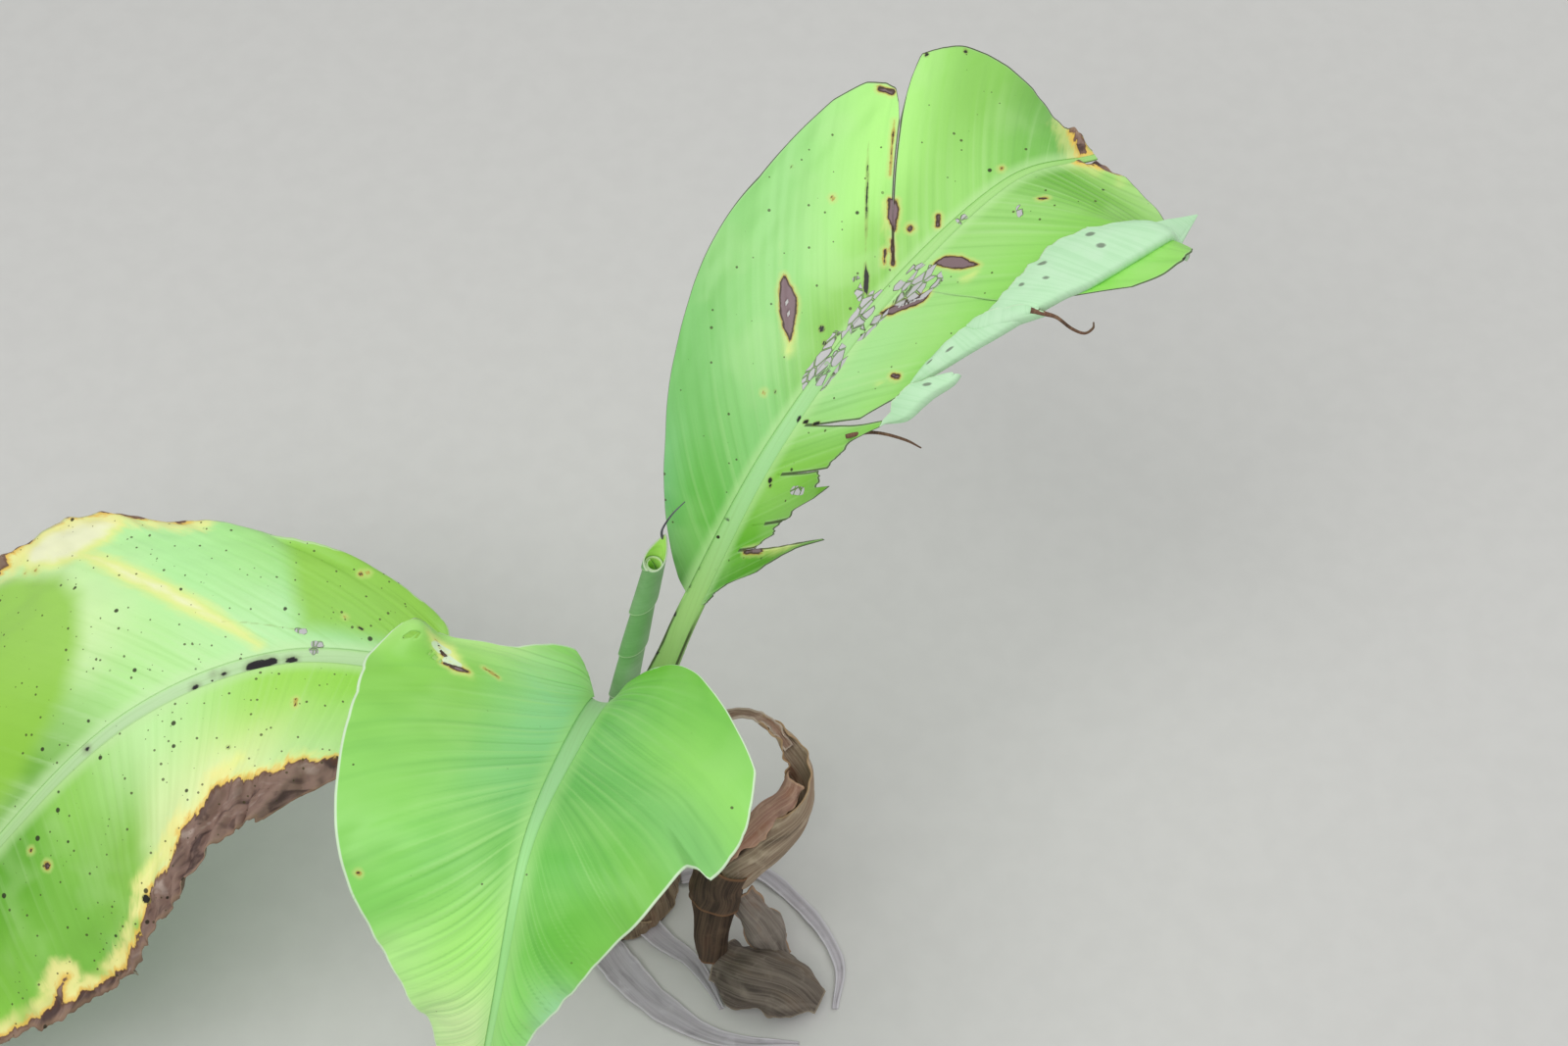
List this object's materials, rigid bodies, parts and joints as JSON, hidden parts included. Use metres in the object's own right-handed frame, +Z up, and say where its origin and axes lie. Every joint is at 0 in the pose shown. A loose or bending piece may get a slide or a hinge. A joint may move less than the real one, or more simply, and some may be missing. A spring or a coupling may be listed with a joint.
{
  "type": "young abyssinian banana plant",
  "caption": "Young abyssinian banana plant rooted in level ground, with arching paddle leaves on a sheathed stem, a rolled new leaf and a dried leaf hanging to the ground.",
  "frame": {"origin": "the middle of the flat cut through the foot of the stem, level with the ground", "axes": "+Z up, out of the ground; -Y towards the viewer and the front leaf's tip; -X towards the left leaf's tip"},
  "size_m": [0.6999, 0.4929, 0.4046],
  "materials": {
    "leaf_sheath": "satin plant skin with brown sheath edges",
    "leaf_stalk": "satin yellow-green skin with black specks",
    "midrib": "pale smooth rib",
    "back_blade": "smooth yellow-green leaf with dark spots and scabs",
    "front_blade": "corrugated bright green leaf with a pale margin",
    "left_blade": "aging green leaf with yellow bands and a brown margin",
    "blade_underside": "pale matt mint underside",
    "rolled_leaf": "waxy grey-green roll",
    "dead_leaf": "dry brown papery leaf with darker stripes",
    "dry_strap": "weathered grey fibre"
  },
  "bodies": {
    "root": {"stem": "leaf_sheath", "rolled_leaf": "rolled_leaf", "back_leaf_stalk": "leaf_stalk", "back_leaf_midrib": "midrib", "back_leaf_blade_left": "back_blade", "back_leaf_blade_right": "back_blade", "back_leaf_fold": "blade_underside", "front_leaf_stalk": "leaf_stalk", "front_leaf_midrib": "midrib", "front_leaf_blade_left": "front_blade", "front_leaf_blade_right": "front_blade", "left_leaf_stalk": "leaf_stalk", "left_leaf_midrib": "midrib", "left_leaf_blade_far": "left_blade", "left_leaf_blade_near": "left_blade", "dead_leaf_stalk": "dead_leaf", "dead_leaf_blade": "dead_leaf", "dead_leaf_roll": "dead_leaf", "dead_leaf_hood": "dead_leaf", "dry_strap_front": "dry_strap", "dry_strap_right": "dry_strap"}
  },
  "joints": []
}
